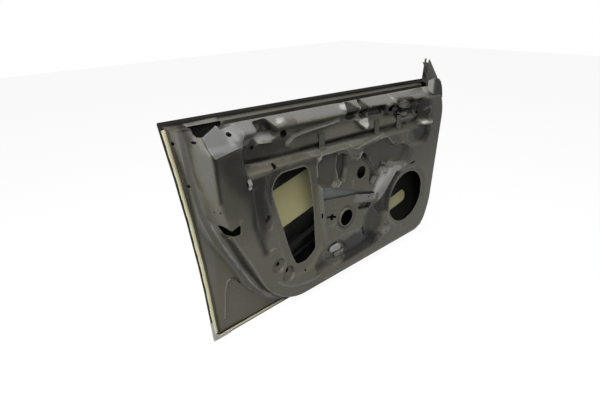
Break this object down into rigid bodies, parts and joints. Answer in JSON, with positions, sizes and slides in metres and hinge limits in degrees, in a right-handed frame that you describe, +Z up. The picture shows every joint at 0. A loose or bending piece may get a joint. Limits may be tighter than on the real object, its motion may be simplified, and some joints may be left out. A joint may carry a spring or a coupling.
{
  "type": "car door shell",
  "caption": "Bare left front door shell for a frameless side window: hemmed skin, stamped inner panel, belt rails, side beam, mirror sail and hinge plates.",
  "frame": {"origin": "middle of the outer face of the upper hinge pad, on the front wall of the inner panel", "axes": "+X forward along the car, from the latch side to the hinge side; +Y outward, from the cabin to the outer skin; +Z up"},
  "size_m": [1.1778, 0.1143, 0.7269],
  "materials": {
    "skin": "semi-gloss primer",
    "panel": "semi-gloss primer",
    "light_plate": "satin",
    "beam": "semi-gloss",
    "reinforcement": "satin",
    "fastener": "plain",
    "patch": "matte",
    "sealant": "satin",
    "cap": "gloss",
    "pad": "matte"
  },
  "bodies": {
    "root": {"outer_skin": "skin", "inner_panel": "panel", "belt_reinforcement_outer": "panel", "belt_reinforcement_inner": "panel", "belt_rail_end_plate": "light_plate", "skin_patch_rear": "patch", "skin_patch_front": "patch", "intrusion_beam": "beam", "beam_bracket_rear": "beam", "beam_bracket_front": "beam", "latch_reinforcement": "reinforcement", "armrest_bracket": "reinforcement", "hinge_reinforcement_upper": "reinforcement", "hinge_reinforcement_lower": "reinforcement", "check_strap_reinforcement": "reinforcement", "hinge_nut_upper_low": "fastener", "hinge_nut_upper_high": "fastener", "hinge_nut_lower_low": "fastener", "hinge_nut_lower_high": "fastener", "mirror_sail_outer": "panel", "mirror_sail_inner": "panel", "sail_slope_strip": "panel", "sail_bracket": "light_plate", "hem_sealant_rear": "sealant", "hem_sealant_bottom": "sealant", "hem_sealant_front": "sealant", "corner_protector_rear": "cap", "corner_protector_front": "cap", "lower_pad": "pad", "lower_pad_plate": "light_plate", "belt_trim_clip_rear": "light_plate", "belt_trim_clip_middle": "light_plate", "belt_trim_clip_front": "light_plate", "spring_clip": "fastener"}
  },
  "joints": []
}
